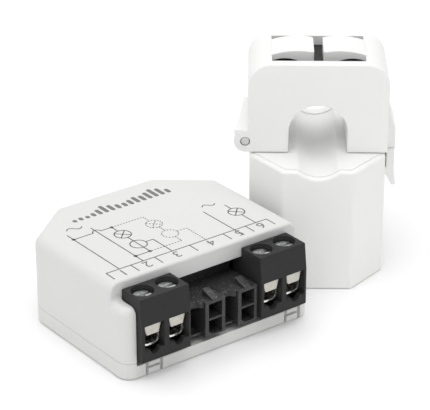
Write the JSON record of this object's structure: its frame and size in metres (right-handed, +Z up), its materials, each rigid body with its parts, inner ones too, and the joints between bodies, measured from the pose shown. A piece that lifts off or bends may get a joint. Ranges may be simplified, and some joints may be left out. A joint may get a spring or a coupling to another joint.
{
  "type": "smart energy monitor",
  "caption": "Small white wall-box metering module with black screw terminals and sensor sockets, and its white split-core current clamp with a hinged, latched jaw.",
  "frame": {"origin": "centre of the metering module's base, on the surface that both pieces stand on", "axes": "+X along the terminal row to the right, +Y from the terminals to the module's rear, +Z up"},
  "size_m": [0.0724, 0.038, 0.0416],
  "materials": {
    "case_white": "fine matt moulded polycarbonate blend",
    "clamp_white": "smooth moulded plastic",
    "terminal_black": "fine matt moulded polyamide",
    "socket_black": "lightly textured moulded polyamide",
    "cage_steel": "zinc plated, bent strip",
    "contact_tin": "tin plated copper strip",
    "screw_zinc": "bright zinc plate",
    "board_green": "solder mask on glass epoxy",
    "relay_case": "moulded, sealed",
    "capacitor_sleeve": "shrunk sleeve on an aluminium can",
    "ferrite": "ground sintered ferrite",
    "varistor_blue": "dipped epoxy",
    "resistor_body": "cement coat",
    "chip_black": "moulded epoxy",
    "shield_steel": "tinned sheet",
    "button_white": "moulded",
    "clear_guide": "polished clear plastic",
    "lamp_body": "diffusing resin",
    "bobbin_black": "moulded",
    "copper_enamel": "enamelled copper wire",
    "inlet_rubber": "moulded",
    "pin_steel": "ground",
    "pin_tin": "tin plated"
  },
  "bodies": {
    "module": {"upper_case": "case_white", "base_cover": "case_white", "main_circuit_board": "board_green", "terminal_block_left": "terminal_black", "terminal_block_right": "terminal_black", "terminal_contacts_left": "contact_tin", "terminal_contacts_right": "contact_tin", "ct_socket_left": "socket_black", "ct_socket_right": "socket_black", "ct_pins_left": "pin_tin", "ct_pins_right": "pin_tin", "control_relay": "relay_case", "bulk_capacitor": "capacitor_sleeve", "input_choke": "ferrite", "surge_varistor": "varistor_blue", "fuse_resistor": "resistor_body", "power_chip": "chip_black", "metering_chip": "chip_black", "wireless_module": "shield_steel", "reset_switch": "chip_black", "status_led": "lamp_body", "light_pipe": "clear_guide"},
    "clamp_base": {"clamp_body": "clamp_white", "clamp_base_cap": "clamp_white", "lower_core": "ferrite", "coil_bobbin": "bobbin_black", "secondary_winding": "copper_enamel", "lead_bushing": "inlet_rubber", "hinge_pin": "pin_steel"},
    "jaw": {"jaw_shell": "clamp_white", "upper_core": "ferrite"},
    "latch": {"latch_arm": "clamp_white"},
    "button": {"reset_button": "button_white"},
    "screw_1": {"terminal_screw_1": "screw_zinc"},
    "cage_1": {"cage_clamp_1": "cage_steel"},
    "screw_2": {"terminal_screw_2": "screw_zinc"},
    "cage_2": {"cage_clamp_2": "cage_steel"},
    "screw_3": {"terminal_screw_3": "screw_zinc"},
    "cage_3": {"cage_clamp_3": "cage_steel"},
    "screw_4": {"terminal_screw_4": "screw_zinc"},
    "cage_4": {"cage_clamp_4": "cage_steel"}
  },
  "joints": [
    {"name": "clamp_lift", "type": "slide", "parent": "module", "child": "clamp_base", "axis": [0, 0, 1], "range_m": [0, 0.06]},
    {"name": "jaw_hinge", "type": "hinge", "parent": "clamp_base", "child": "jaw", "pos_m": [0.02688, 0.01024, 0.02575], "axis": [-0.6198, -0.7848, 0], "range_deg": [0, 110]},
    {"name": "latch_flex", "type": "hinge", "parent": "jaw", "child": "latch", "pos_m": [0.04817, -0.00658, 0.0226], "axis": [-0.6198, -0.7848, 0], "range_deg": [0, 12], "stiffness_Nm_per_rad": 0.02},
    {"name": "reset_press", "type": "slide", "parent": "module", "child": "button", "axis": [0, -1, 0], "range_m": [0, 0.0005], "stiffness_N_per_m": 300},
    {"name": "screw_1_turn", "type": "hinge", "parent": "module", "child": "screw_1", "pos_m": [-0.0151, -0.01575, 0.0135], "axis": [0, 0, -1], "range_deg": [0, 1400]},
    {"name": "cage_1_rise", "type": "slide", "parent": "module", "child": "cage_1", "axis": [0, 0, 1], "range_m": [0, 0.00175]},
    {"name": "screw_2_turn", "type": "hinge", "parent": "module", "child": "screw_2", "pos_m": [-0.0101, -0.01575, 0.0135], "axis": [0, 0, -1], "range_deg": [0, 1400]},
    {"name": "cage_2_rise", "type": "slide", "parent": "module", "child": "cage_2", "axis": [0, 0, 1], "range_m": [0, 0.00175]},
    {"name": "screw_3_turn", "type": "hinge", "parent": "module", "child": "screw_3", "pos_m": [0.0101, -0.01575, 0.0135], "axis": [0, 0, -1], "range_deg": [0, 1400]},
    {"name": "cage_3_rise", "type": "slide", "parent": "module", "child": "cage_3", "axis": [0, 0, 1], "range_m": [0, 0.00175]},
    {"name": "screw_4_turn", "type": "hinge", "parent": "module", "child": "screw_4", "pos_m": [0.0151, -0.01575, 0.0135], "axis": [0, 0, -1], "range_deg": [0, 1400]},
    {"name": "cage_4_rise", "type": "slide", "parent": "module", "child": "cage_4", "axis": [0, 0, 1], "range_m": [0, 0.00175]}
  ],
  "couplings": [
    {"joint": "screw_1_turn", "follows": "cage_1_rise", "rad_per_m": 13963},
    {"joint": "screw_2_turn", "follows": "cage_2_rise", "rad_per_m": 13963},
    {"joint": "screw_3_turn", "follows": "cage_3_rise", "rad_per_m": 13963},
    {"joint": "screw_4_turn", "follows": "cage_4_rise", "rad_per_m": 13963}
  ]
}
